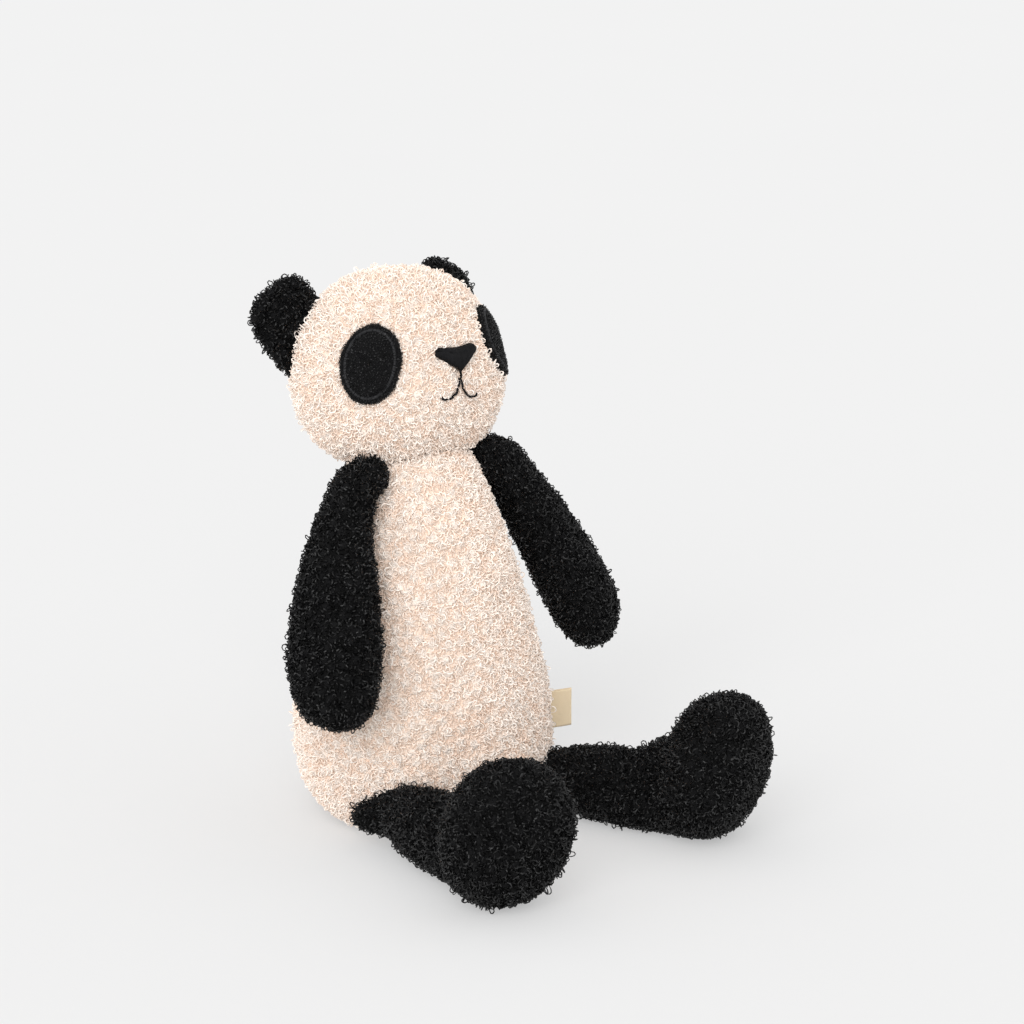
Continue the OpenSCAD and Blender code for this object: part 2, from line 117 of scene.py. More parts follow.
def weld(co, tri):
    """Joins points that lie in the same place."""
    keys, back = np.unique(np.round(co * 1e7).astype(np.int64), axis=0, return_inverse=True)
    tri = back.reshape(-1)[tri]
    whole = (tri[:, 0] != tri[:, 1]) & (tri[:, 1] != tri[:, 2]) & (tri[:, 2] != tri[:, 0])
    return keys / 1e7, tri[whole]


def solid(node):
    """Points and triangles of a CAD node, as welded skins."""
    mesh = frame["nodes"][node].data
    return weld(points_of(mesh), triangles_of(mesh))


def outer_skin(co, tri):
    """The widest of a hollow solid's separate skins."""
    skin = np.arange(len(co))
    while True:
        low = np.repeat(skin[tri].min(axis=1), 3)
        spread = skin.copy()
        np.minimum.at(spread, tri.ravel(), low)
        if (spread == skin).all():
            break
        skin = spread
    wide = max(np.unique(skin), key=lambda k: np.ptp(co[skin == k], axis=0).sum())
    keep = np.flatnonzero(skin == wide)
    place = np.full(len(co), -1)
    place[keep] = np.arange(len(keep))
    return co[keep], place[tri[skin[tri[:, 0]] == wide]]


def ellipsoid(centre, across, along, up):
    """Points and triangles of an ellipsoid with three given half axes."""
    rings = 12
    sides = 24
    co = [centre - up]
    for r in range(1, rings):
        lat = math.pi * (r / rings - 0.5)
        for k in range(sides):
            a = 2 * math.pi * k / sides
            level = math.cos(a) * across + math.sin(a) * along
            co.append(centre + math.cos(lat) * level + math.sin(lat) * up)
    co.append(centre + up)
    last = len(co) - 1

    def at(r, k):
        return 1 + (r - 1) * sides + k % sides

    tri = []
    for k in range(sides):
        tri.append((0, at(1, k + 1), at(1, k)))
        tri.append((last, at(rings - 1, k), at(rings - 1, k + 1)))
        for r in range(1, rings - 1):
            tri.append((at(r, k), at(r, k + 1), at(r + 1, k + 1)))
            tri.append((at(r, k), at(r + 1, k + 1), at(r + 1, k)))
    return np.array([tuple(p) for p in co]), np.array(tri)


def lump(centre, axes, half):
    """An ellipsoid along three axes, with half sizes in millimetres."""
    return ellipsoid(centre, *(axis * size * MM for axis, size in zip(axes, half)))


def joined(*parts):
    first = np.cumsum([0] + [len(co) for co, faces in parts[:-1]])
    co = np.concatenate([part[0] for part in parts])
    return co, np.concatenate([part[1] + start for part, start in zip(parts, first)])


def tube_faces(rows, sides):
    """Four-cornered faces of a tube whose rings of points follow each other."""
    row, k = np.meshgrid(np.arange(rows), np.arange(sides), indexing="ij")
    here = row * sides + k
    along = row * sides + (k + 1) % sides
    return np.stack([here, along, along + sides, here + sides], axis=-1).reshape(-1, 4)


def round_thread(first, second, sides):
    """Directions round a thread, from two directions across it."""
    turn = 2 * math.pi * np.arange(sides)[:, None] / sides
    return np.cos(turn) * first[:, :, None] + np.sin(turn) * second[:, :, None]


def repeated(face, count, step):
    """The faces of many pieces with the same number of points."""
    return ((np.arange(count) * step)[:, None, None] + face[None]).reshape(-1, 4)


def make(name, co, faces):
    """A mesh object from points and faces of three or four corners."""
    mesh = bpy.data.meshes.new(name)
    corners = faces.shape[1]
    mesh.vertices.add(len(co))
    mesh.vertices.foreach_set("co", np.asarray(co, np.float32).ravel())
    mesh.loops.add(faces.size)
    mesh.loops.foreach_set("vertex_index", faces.astype(np.int32).ravel())
    mesh.polygons.add(len(faces))
    mesh.polygons.foreach_set("loop_start", np.arange(0, faces.size, corners, dtype=np.int32))
    mesh.update(calc_edges=True)
    mesh.shade_smooth()
    obj = bpy.data.objects.new(name, mesh)
    bpy.context.scene.collection.objects.link(obj)
    return obj


def points_of(mesh, what="co"):
    found = np.empty(len(mesh.vertices) * 3)
    mesh.vertices.foreach_get(what, found)
    return found.reshape(-1, 3)


def triangles_of(mesh):
    mesh.calc_loop_triangles()
    tri = np.empty(len(mesh.loop_triangles) * 3, np.int32)
    mesh.loop_triangles.foreach_get("vertices", tri)
    return tri.reshape(-1, 3)


def put_points(mesh, co):
    mesh.vertices.foreach_set("co", co.astype(np.float32).ravel())
    mesh.update()


def raise_by(obj, heights):
    """Moves a mesh's points outwards by heights in millimetres."""
    normal = points_of(obj.data, "normal")
    put_points(obj.data, points_of(obj.data) + normal * (heights * MM)[:, None])


def apply_modifiers(obj):
    dg = bpy.context.evaluated_depsgraph_get()
    mesh = bpy.data.meshes.new_from_object(obj.evaluated_get(dg))
    obj.modifiers.clear()
    old = obj.data
    obj.data = mesh
    bpy.data.meshes.remove(old)
    mesh.name = obj.name
    mesh.shade_smooth()


def waves(co, length, seed):
    """Smooth unevenness, mostly between -1 and 1, with about that wave length."""
    count = 14
    rng = np.random.default_rng(seed)
    way = rng.normal(size=(count, 3))
    way *= (2 * math.pi / length * rng.uniform(0.7, 1.4, count) / np.linalg.norm(way, axis=1))[:, None]
    return np.sin(co @ way.T + rng.uniform(0, 2 * math.pi, count)).sum(axis=1) / math.sqrt(count * 2)


def tree_of(obj):
    mesh = obj.data
    return BVHTree.FromPolygons(points_of(mesh).tolist(), triangles_of(mesh).tolist())


# Covers: remeshed, swelled by a cloth simulation, then given lumps and seams
SWELL_STEPS = 20
LUMP_LENGTH = 22 * MM


def rough_cover(name, parts, voxel, inset):
    """A closed even mesh round the parts, drawn in by an inset, or let out where that is negative."""
    obj = make(name, *joined(*parts))
    remesh = obj.modifiers.new("remesh", "REMESH")
    remesh.mode = "VOXEL"
    remesh.voxel_size = voxel * MM
    smooth = obj.modifiers.new("smooth", "SMOOTH")
    smooth.factor = 0.5
    smooth.iterations = 5
    apply_modifiers(obj)
    put_points(obj.data, points_of(obj.data) - points_of(obj.data, "normal") * inset * MM)
    return obj


def swell(covers, pressure, cap):
    """Blows the covers up like stuffed cloth, by a capped distance."""
    scene = bpy.context.scene
    for obj in covers:
        cloth = obj.modifiers.new("cloth", "CLOTH").settings
        cloth.quality = 5
        cloth.mass = 0.3
        cloth.tension_stiffness = 12
        cloth.compression_stiffness = 12
        cloth.shear_stiffness = 6
        cloth.bending_stiffness = 1.5
        cloth.use_pressure = True
        cloth.uniform_pressure_force = pressure
        cloth.effector_weights.gravity = 0
    for step in range(1, SWELL_STEPS + 1):
        scene.frame_set(step)
    dg = bpy.context.evaluated_depsgraph_get()
    for obj in covers:
        start = points_of(obj.data)
        move = points_of(obj.evaluated_get(dg).data) - start
        far = np.linalg.norm(move, axis=1, keepdims=True)
        obj.modifiers.clear()
        put_points(obj.data, start + move * np.minimum(1, cap * MM / np.maximum(far, 1e-9)))
    scene.frame_set(1)


def finish_cover(obj, uneven, seed):
    """Finer mesh with slight lumps of filling."""
    fine = obj.modifiers.new("fine", "SUBSURF")
    fine.levels = 2
    fine.render_levels = 2
    apply_modifiers(obj)
    raise_by(obj, waves(points_of(obj.data), LUMP_LENGTH, seed) * uneven)


def full_half(size, z):
    """Half size of the body's side at heights in millimetres."""
    seat, hip, top = (s / 2 for s in size)
    low = np.sqrt(np.maximum(0, 1 - (1 - np.clip(z, 0, HIP_Z) / HIP_Z) ** 2))
    high = np.clip((z - HIP_Z) / (COLLAR_AT[2] - HIP_Z), 0, 1) ** BODY_TAPER
    return np.where(z < HIP_Z, seat + (hip - seat) * low, hip - (hip - top) * high)


def whole_trunk():
    """The body's filling with its hip hollows and collar dip filled up."""
    co, tri = solid("body_filling")
    low = co[:, 2] < HIP_HOLLOW_TOP * MM
    z = co[low, 2] / MM
    middle = COLLAR_AT[1] / COLLAR_AT[2] * z
    a = full_half((SEAT[0], HIP[0], COLLAR[0]), z) - CLOTH
    b = full_half((SEAT[1], HIP[1], COLLAR[1]), z) - CLOTH
    x = co[low, 0] / MM
    y = co[low, 1] / MM - middle
    az = np.arctan2(x / a, y / b)
    on_side = np.hypot(x, y) > 5
    co[low, 0] = np.where(on_side, a * np.sin(az), x) * MM
    co[low, 1] = np.where(on_side, b * np.cos(az) + middle, y + middle) * MM
    axes = (AXES[0], NECK_UP.cross(AXES[0]), NECK_UP)
    pad = lump(NECK - NECK_UP * COLLAR_PAD_DOWN * MM, axes, COLLAR_PAD_HALF)
    return [(co, tri), pad]


def joint_at(name):
    return Vector(next(j for j in frame["joints"] if j["name"] == name)["pos_m"])


def farthest(node, at):
    """The point of a CAD node that lies farthest from a place."""
    co = points_of(frame["nodes"][node].data)
    return Vector(co[np.linalg.norm(co - np.array(at), axis=1).argmax()])


def split(obj, first_name, second_name, is_first):
    """Cuts a cover of four-cornered faces into two panels."""
    mesh = obj.data
    co = points_of(mesh)
    faces = np.empty(len(mesh.loops), np.int32)
    mesh.loops.foreach_get("vertex_index", faces)
    faces = faces.reshape(-1, 4)
    tone_and_shade = np.empty(len(co))
    mesh.attributes["tone_and_shade"].data.foreach_get("value", tone_and_shade)
    first = is_first(co[faces].mean(axis=1))
    made = []
    for name, part in ((first_name, first), (second_name, ~first)):
        used, back = np.unique(faces[part], return_inverse=True)
        made.append(make(name, co[used], back.reshape(-1, 4)))
        give_tone_and_shade(made[-1], tone_and_shade[used])
    bpy.data.objects.remove(obj)
    return made


def body_heading(co):
    middle = co[:, 2] * (COLLAR_AT[1] / COLLAR_AT[2])
    return np.degrees(np.arctan2(co[:, 0], middle - co[:, 1]))


def head_heading(co):
    inward = np.array(HEAD.inverted())
    local = co @ inward[:3, :3].T + inward[:3, 3]
    return np.degrees(np.arctan2(local[:, 0], -local[:, 1]))


def draw_in(obj, heading, seam_az, radius, deep, wide):
    """Draws a cover in along the two seams that run up at a heading."""
    co = points_of(obj.data)
    off = np.radians(np.abs(np.abs(heading(co)) - seam_az)) * radius
    raise_by(obj, -deep * np.exp(-((off / wide) ** 2)))


# Curls of yarn
CURL_STEPS = 6
CURL_SIDES = 3
FLOOR_GAP = 0.25 * MM
FLOOR_LEAST = 0.05 * MM


def tree_of_points(points):
    tree = KDTree(len(points))
    for k, p in enumerate(points):
        tree.insert(p, k)
    tree.balance()
    return tree


def scatter(obj, pitch, seed):
    """Points spread evenly over a mesh, with the normals there."""
    rng = np.random.default_rng(seed)
    co, tri, normal = points_of(obj.data), triangles_of(obj.data), points_of(obj.data, "normal")
    a, b, c = (co[tri[:, k]] for k in range(3))
    area = np.linalg.norm(np.cross(b - a, c - a), axis=1) / 2
    count = int(area.sum() / (pitch * MM) ** 2 * 4)
    pick = rng.choice(len(tri), count, p=area / area.sum())
    u = np.sqrt(rng.random(count))
    v = rng.random(count)
    share = np.stack([1 - u, u * (1 - v), u * v], axis=1)
    points = (co[tri[pick]] * share[:, :, None]).sum(axis=1)
    normals = (normal[tri[pick]] * share[:, :, None]).sum(axis=1)
    normals /= np.linalg.norm(normals, axis=1, keepdims=True)
    tree = tree_of_points(points)
    free = np.ones(count, bool)
    kept = []
    for k in range(count):
        if free[k]:
            kept.append(k)
            free[[near for place, near, far in tree.find_range(points[k], pitch * MM)]] = False
    return points[kept], normals[kept]


def clear_of(points, tree, depth):
    """Which points lie outside a closed mesh, or less than a depth inside it."""
    out = np.ones(len(points), bool)
    up = Vector((0.03, 0.05, 1))
    for k, p in enumerate(points):
        crossed = 0
        start = Vector(p)
        while True:
            hit = tree.ray_cast(start, up)[0]
            if hit is None:
                break
            crossed += 1
            start = hit + up * 1e-6
        out[k] = crossed % 2 == 0 or tree.find_nearest(p)[3] < depth * MM
    return out


def seen_flat(points, place):
    """Points as flat places in millimetres and heights, seen in a frame."""
    inward = np.array(place.inverted())
    return (points @ inward[:3, :3].T + inward[:3, 3]) / MM


def puff(obj, tufts):
    """Raises a cover in a round tuft about each of the middles, and keeps the dome's height for the
    painted shade on the ground between the tufts.
    """
    co = points_of(obj.data)
    far = np.array([tufts.find(p)[2] for p in co]) / (TUFT * MM)
    dome = np.maximum(1 - far**2, 0)
    raise_by(obj, (dome - 0.5) * TUFT_RISE)
    # painted shade: the ground's colour goes darker where the dome is low, between the tufts
    give_tone_and_shade(obj, dome)


def curls(name, points, normals, seed, size, yarn, tufts, tuft, strays):
    """A mesh of small yarn loops that stand on the points, with painted shade darkening them towards the
    tufts' edges and painted light on the tufts' middles and on loops that stand higher.
    """
    rng = np.random.default_rng(seed)
    n = len(points)
    off = (points - np.array([tufts.find(p)[0] for p in points])) / (tuft * MM)
    off -= normals * (off * normals).sum(axis=1, keepdims=True)
    reach = np.minimum(np.linalg.norm(off, axis=1), 1.2)
    lift = rng.normal(0.05, 0.22, n) * size
    stray = rng.random(n) < strays
    lift += stray * size * rng.uniform(0.6, 1.6, n)

    # Each loop turns about an axis that leans away from the cover
    side = np.cross(normals, rng.normal(size=(n, 3)))
    side /= np.linalg.norm(side, axis=1, keepdims=True)
    across = np.cross(normals, side)
    tilt = np.radians(rng.uniform(35, 88, n))[:, None]
    axis = normals * np.cos(tilt) + side * np.sin(tilt)
    rise = np.cross(across, axis)
    rise *= np.sign((rise * normals).sum(axis=1))[:, None]
    radius = size * MM * rng.uniform(0.75, 1.25, n) * np.where(stray, 1.15, 1)
    squash = rng.uniform(0.4, 0.95, n)
    turns = rng.uniform(0.55, 0.95, n)
    sway = size * MM * rng.uniform(-0.5, 0.5, n)
    pitch = size * MM * rng.uniform(-1.0, 1.0, n)

    # The yarn runs along the loop and dips into the cover at both ends
    s = np.linspace(0, 1, CURL_STEPS + 1)
    end = np.abs(2 * s - 1)
    angle = math.pi / 2 + (s - 0.5) * 2 * math.pi * turns[:, None]
    sideways = np.cos(angle)[:, :, None] * across[:, None]
    upwards = np.sin(angle)[:, :, None] * rise[:, None]
    path = (points + normals * (lift * MM)[:, None])[:, None]
    path = path + radius[:, None, None] * (sideways * squash[:, None, None] + upwards)
    aside = (s - 0.5) * pitch[:, None] + np.sin(2 * math.pi * s) * sway[:, None]
    path = path + axis[:, None] * aside[:, :, None]
    path = path - normals[:, None] * (size * MM * 1.1 * end**4)[:, None]
    thick = yarn * MM * rng.uniform(0.85, 1.15, n)[:, None] * (1 - 0.45 * end**6)
    ring = round_thread(sideways + upwards, axis[:, None], CURL_SIDES)
    co = path[:, :, None] + ring * thick[:, :, None, None]
    level = co[..., 2]
    pressed = FLOOR_GAP + 0.15 * (level - FLOOR_GAP)
    co[..., 2] = np.maximum(np.where(level < FLOOR_GAP, pressed, level), FLOOR_LEAST)
    face = tube_faces(CURL_STEPS, CURL_SIDES)[:, [0, 3, 2, 1]]
    count = (CURL_STEPS + 1) * CURL_SIDES
    obj = make(name, co.reshape(-1, 3), repeated(face, n, count))

    # Tone: random from curl to curl and slowly across the cover, plus painted shade towards the tufts'
    # edges and painted light where a loop stands higher
    tone_and_shade = 0.7 + 0.12 * rng.normal(size=n) + 0.1 * waves(points, 0.03, 5)
    tone_and_shade = np.clip(tone_and_shade - 0.42 * reach**2 + 0.12 * lift / size, 0.02, 0.98)
    give_tone_and_shade(obj, np.repeat(tone_and_shade, count))
    uv = obj.data.uv_layers.new(name="OFBake")
    place = np.empty((n, len(face), 4, 2), np.float32)
    row = np.repeat(np.arange(CURL_STEPS), CURL_SIDES)
    place[..., 0] = (0.01 + 0.97 * tone_and_shade)[:, None, None] + 0.008 * np.array([0, 0, 1, 1])
    place[..., 1] = (row[:, None] + np.array([0, 1, 1, 0]) + 0.001) / (CURL_STEPS + 0.002)
    uv.data.foreach_set("uv", place.ravel())
    obj.data.polygons.foreach_set("use_smooth", np.zeros(len(obj.data.polygons), bool))
    return obj


def give_tone_and_shade(obj, tone_and_shade):
    layer = obj.data.attributes.new("tone_and_shade", "FLOAT", "POINT")
    layer.data.foreach_set("value", np.asarray(tone_and_shade, np.float32))


# Threads
THREAD_SIDES = 6
THREAD_CAPS = np.array([[0, 3, 2, 1], [0, 5, 4, 3]])


def threads(name, paths, thick, seed):
    """A mesh of round threads along paths with equal numbers of points."""
    rng = np.random.default_rng(seed)
    paths = np.asarray(paths)
    n, steps = paths.shape[:2]
    tangent = np.gradient(paths, axis=1)
    tangent /= np.maximum(np.linalg.norm(tangent, axis=2, keepdims=True), 1e-12)
    guide = np.cross(tangent, np.array([0.123, 0.456, 0.881]))
    guide /= np.linalg.norm(guide, axis=2, keepdims=True)
    end = np.abs(np.linspace(-1, 1, steps))
    wide = thick * MM * (1 - 0.5 * end**8) * rng.uniform(0.9, 1.1, n)[:, None]
    ring = round_thread(guide, np.cross(tangent, guide), THREAD_SIDES)
    co = paths[:, :, None] + ring * wide[:, :, None, None]
    far_caps = THREAD_CAPS[:, ::-1] + (steps - 1) * THREAD_SIDES
    face = np.concatenate([tube_faces(steps - 1, THREAD_SIDES), THREAD_CAPS, far_caps])
    obj = make(name, co.reshape(-1, 3), repeated(face, n, steps * THREAD_SIDES))
    give_tone_and_shade(obj, np.repeat(rng.uniform(0.1, 0.9, n), steps * THREAD_SIDES))
    return obj


# Materials


def shader(name, **sockets):
    made = bpy.data.materials.new(name)
    made.use_nodes = True
    principled = made.node_tree.nodes["Principled BSDF"]
    for socket, value in sockets.items():
        principled.inputs[socket.replace("_", " ")].default_value = value
    return made, made.node_tree.nodes, made.node_tree.links, principled


def ramp(nodes, stops):
    node = nodes.new("ShaderNodeValToRGB")
    bar = node.color_ramp.elements
    while len(bar) < len(stops):
        bar.new(0.5)
    for element, (at, colour) in zip(bar, stops):
        element.position = at
        element.color = (*colour, 1)
    return node


def noise(nodes, links, scale, detail=2.0):
    node = nodes.new("ShaderNodeTexNoise")
    node.inputs["Scale"].default_value = scale
    node.inputs["Detail"].default_value = detail
    links.new(nodes.new("ShaderNodeTexCoord").outputs["Object"], node.inputs["Vector"])
    return node.outputs["Fac"]


def bump(nodes, links, principled, height, strength, distance):
    node = nodes.new("ShaderNodeBump")
    node.inputs["Strength"].default_value = strength
    node.inputs["Distance"].default_value = distance
    links.new(height, node.inputs["Height"])
    links.new(node.outputs["Normal"], principled.inputs["Normal"])


def rough_from(nodes, links, principled, value, low, high):
    node = nodes.new("ShaderNodeMapRange")
    node.inputs["To Min"].default_value = low
    node.inputs["To Max"].default_value = high
    links.new(value, node.inputs["Value"])
    links.new(node.outputs["Result"], principled.inputs["Roughness"])


def maths(nodes, links, operation, *values):
    """A math node on outputs of other nodes and on plain numbers."""
    node = nodes.new("ShaderNodeMath")
    node.operation = operation
    for socket, value in zip(node.inputs, values):
        if isinstance(value, bpy.types.NodeSocket):
            links.new(value, socket)
        else:
            socket.default_value = value
    return node.outputs["Value"]


def colour_from(nodes, links, principled, value, stops):
    colour = ramp(nodes, stops)
    links.new(value, colour.inputs["Fac"])
    links.new(colour.outputs["Color"], principled.inputs["Base Color"])


def tone_and_shade_of(nodes):
    node = nodes.new("ShaderNodeAttribute")
    node.attribute_name = "tone_and_shade"
    return node.outputs["Fac"]


def yarn_material(name, stops, rough, **sockets):
    """Yarn whose colour goes from curl to curl, at random and with the painted shade and painted light
    of the curls' tone, with fine fibres in its bump.
    """
    made, nodes, links, principled = shader(name, **sockets)
    colour_from(nodes, links, principled, tone_and_shade_of(nodes), stops)
    fibres = noise(nodes, links, 2600, 3)
    bump(nodes, links, principled, fibres, 0.35, 0.0002)
    rough_from(nodes, links, principled, fibres, *rough)
    return made


KNOT = 0.22


def backing_material(name, stops, scale, **sockets):
    """Ground of the pile: small loops side by side, with painted shade between them and between the
    tufts.
    """
    made, nodes, links, principled = shader(name, **sockets)
    knots = nodes.new("ShaderNodeTexVoronoi")
    knots.inputs["Scale"].default_value = scale
    links.new(nodes.new("ShaderNodeTexCoord").outputs["Object"], knots.inputs["Vector"])
    loops = maths(nodes, links, "PINGPONG", knots.outputs["Distance"], KNOT)
    height = nodes.new("ShaderNodeMapRange")
    height.inputs["From Max"].default_value = KNOT
    links.new(loops, height.inputs["Value"])
    # painted shade: the ground darkens towards the tufts' edges and in the hollows between its small
    # loops
    tufts = maths(nodes, links, "MULTIPLY", tone_and_shade_of(nodes), 0.6)
    both = maths(nodes, links, "MULTIPLY_ADD", height.outputs["Result"], 0.4, tufts)
    colour_from(nodes, links, principled, both, stops)
    bump(nodes, links, principled, height.outputs["Result"], 0.9, 0.0008)
    rough_from(nodes, links, principled, noise(nodes, links, 130, 4), 0.8, 0.98)
    return made


# Cream ramps: deep peach at the low end is painted shade between the tufts, and the pale high end is the
# tops of the tufts with painted light
cream_yarn = yarn_material(
    "cream_yarn",
    [(0.0, (0.955, 0.785, 0.665)), (0.45, (0.98, 0.875, 0.79)), (1.0, (0.988, 0.915, 0.85))],
    (0.75, 0.95),
    Specular_IOR_Level=0.25,
    Sheen_Weight=0.25,
    Sheen_Roughness=0.5,
)
cream_ground = backing_material(
    "cream_ground",
    [(0.0, (0.955, 0.765, 0.63)), (0.8, (0.985, 0.88, 0.795))],
    400,
    Specular_IOR_Level=0.2,
)
# Black ramps: the darkest stops are painted shade between the tufts, and the lighter stops are painted
# light on the tufts and on raised loops
black_yarn = yarn_material(
    "black_yarn",
    [(0.0, (0.001, 0.001, 0.0012)), (0.6, (0.002, 0.002, 0.0023)), (1.0, (0.006, 0.006, 0.0067))],
    (0.28, 0.5),
    Specular_IOR_Level=0.34,
)
black_ground = backing_material(
    "black_ground",
    [(0.1, (0.0012, 0.0012, 0.0014)), (0.8, (0.004, 0.004, 0.0045))],
    400,
    Specular_IOR_Level=0.22,
)
black_thread = yarn_material(
    "black_thread",
    [(0.0, (0.002, 0.002, 0.0026)), (1.0, (0.006, 0.006, 0.007))],
    (0.45, 0.65),
    Specular_IOR_Level=0.14,
)
eye_yarn = yarn_material(
    "eye_yarn",
    [(0.0, (0.002, 0.002, 0.0023)), (0.6, (0.005, 0.005, 0.0056)), (1.0, (0.014, 0.014, 0.0152))],
    (0.25, 0.45),
    Specular_IOR_Level=0.45,
)
eye_thread = yarn_material(
    "eye_thread",
    [(0.0, (0.006, 0.006, 0.007)), (1.0, (0.022, 0.022, 0.0245))],
    (0.35, 0.55),
    Specular_IOR_Level=0.45,
)
fibre = backing_material("fibre", [(0.3, (0.82, 0.81, 0.78)), (0.7, (0.93, 0.92, 0.90))], 160)


def dress(obj, material):
    obj.data.materials.clear()
    obj.data.materials.append(material)
    return obj


# Covers in the solids' places


def skin_of(node):
    return outer_skin(*solid(node))


def limb_parts(node, at, toward, root, reach):
    """A limb's skin with a seam allowance at its root that runs into the body."""
    toward = toward.normalized()
    across = toward.orthogonal().normalized()
    axes = (across, toward.cross(across), toward)
    return [skin_of(node), lump(at + toward * reach * MM, axes, (root, root, root))]


def nearness(co, middle, reach):
    return np.exp(-(((co - np.array(middle)) ** 2).sum(axis=1) / (reach * MM) ** 2))


def fill_out(obj, toward, amount, middle, reach):
    """Moves the side that faces a direction outwards, most of all about a middle."""
    toward = np.array(toward.normalized())
    co, normal = points_of(obj.data), points_of(obj.data, "normal")
    amount = np.maximum(normal @ toward, 0) * nearness(co, middle, reach) * amount * MM
    put_points(obj.data, co + np.outer(amount, toward))


def plump(obj, amount, middle, reach):
    """Swells a cover about a middle."""
    raise_by(obj, nearness(points_of(obj.data), middle, reach) * amount)


def shift(obj, move, middle, reach):
    """Moves a cover sideways about a middle."""
    co = points_of(obj.data)
    put_points(obj.data, co + np.outer(nearness(co, middle, reach), np.array(move)))


def leg_ends(node, hip):
    """Heading of a leg and its length from the hip to the sole."""
    co = points_of(frame["nodes"][node].data)
    flat = (co - np.array(hip)) * np.array([1, 1, 0])
    along = Vector(flat[np.linalg.norm(flat, axis=1).argmax()]).normalized()
    return along, (flat @ np.array(along)).max()


def leg_parts(side, way, hip):
    """A leg's skin with its tail along the hip and the round of its ankle."""
    along, length = leg_ends(side + "_leg", hip)
    across = Vector((-along.y, along.x, 0))
    back = Vector((way * 0.78, 0.62, 0))
    tail = hip + Vector((way * 9, 7, -2)) * MM
    ankle = hip + along * (length - ANKLE * MM)
    ankle.z = ANKLE_Z * MM
    return [
        *limb_parts(side + "_leg", hip, Vector((-way * 0.3, 1, 0.1)), LEG_ROOT - 1, 6),
        lump(tail, (back, UP.cross(back), UP), LEG_TAIL_HALF),
        lump(ankle, (along, across, UP), ANKLE_HALF),
    ]


def tip_foot(obj, along, hip, length, lean):
    """Leans a foot forwards at its top."""
    co = points_of(obj.data)
    far = (co - np.array(hip)) @ np.array(along) - (length - FOOT_DEEP * MM)
    share = np.clip(far / (15 * MM), 0, 1)
    co[:, 1] -= share * lean * (co[:, 2] - 30 * MM)
    put_points(obj.data, co)


def ear_lens(way):
    """An ear as a whole lens, sunk into the head."""
    ahead = aim(way * EAR_AZ, EAR_EL)
    flat = math.hypot(ahead.x / HEAD_HALF[0], ahead.y / HEAD_HALF[1])
    high = abs(ahead.z / HEAD_HALF[2])
    reach = (flat**HEAD_SQUARE + high**HEAD_SQUARE) ** (-1 / HEAD_SQUARE)
    out = aim(way * EAR_OUT_AZ, EAR_OUT_EL)
    along = (UP - out * out.z).normalized()
    axes = (out, along, out.cross(along))
    turn = HEAD.to_3x3()
    half = np.array([turn @ (axis * size * MM) for axis, size in zip(axes, EAR_HALF)])
    co, tri = ellipsoid(Vector((0, 0, 0)), *AXES)
    level = np.linalg.norm(co[:, :2], axis=1, keepdims=True) + 1e-9
    corner = (np.abs(co[:, :2] / level) ** EAR_SQUARE).sum(axis=1, keepdims=True)
    co[:, :2] *= np.maximum(corner, 1e-3) ** (-1 / EAR_SQUARE)
    return co @ half + np.array(HEAD @ (ahead * (reach - EAR_SUNK) * MM)), tri


trunk = rough_cover("trunk", whole_trunk(), 5, -1.8)
skull = rough_cover("skull", [solid("head_filling"), lump(NECK, AXES, HEAD_PAD_HALF)], 5, -2.0)
limbs = {}
for side, way in SIDES:
    shoulder = joint_at(side + "_arm_swing")
    hip = joint_at(side + "_leg_spread")
    arm_parts = limb_parts(side + "_arm", shoulder, Vector((-way, 0.15, 0.25)), ARM_ROOT, 7)
    limbs[side + "_arm"] = rough_cover(side + "_arm_cover", arm_parts, 4, -0.6)
    limbs[side + "_leg"] = rough_cover(side + "_leg_cover", leg_parts(side, way, hip), 4.5, 0.4)
    limbs[side + "_ear"] = rough_cover(side + "_ear_cover", [ear_lens(way)], 3, -0.2)
stuffed = [trunk, skull, *limbs.values()]
swell(stuffed, 4, 2.0)

# How far the covers are moved or filled out, in millimetres, by side where the sides differ
BOW = {"right": 2.8, "left": 0.0}
HAND_IN = {"right": 0.0, "left": 1.4}
SHOULDER_DROP = {"right": 5.0, "left": 2.0}
HAND = {"right": 1.0, "left": 1.9}
FOOT_ASIDE = {"right": 3.4, "left": 0.0}
TOE_RISE = {"right": 0.0, "left": 3.4}
THIGH = 4.6
ANKLE_FRONT = 3.2
ARM_BACK = 3.0
CHEEK = 3.6
JOWL = 5.5
MUZZLE = 1.2
FLANK = 2.6
SEAM_DEEP = 0.7
# How far each foot leans forwards for its height
FOOT_LEAN = {"right": 0.14, "left": 0.22}


def shape_leg(side):
    """Gives a leg its full thigh and ankle, and its foot's lean and place."""
    hip = joint_at(side + "_leg_spread")
    leg = limbs[side + "_leg"]
    along, length = leg_ends(side + "_leg", hip)
    ankle = hip + along * (length - ANKLE * MM)
    foot = hip + along * (length - 20 * MM)
    tip_foot(leg, along, hip, length, FOOT_LEAN[side])
    fill_out(leg, UP, THIGH, hip + along * 30 * MM, 24)
    fill_out(leg, UP - along * 0.4, ANKLE_FRONT, Vector((ankle.x, ankle.y, 0.045)), 17)
    shift(leg, Vector((0.81, -0.59, 0)) * FOOT_ASIDE[side] * MM, foot, 52)
    fill_out(leg, UP, TOE_RISE[side], Vector((foot.x, foot.y, 0.07)), 30)


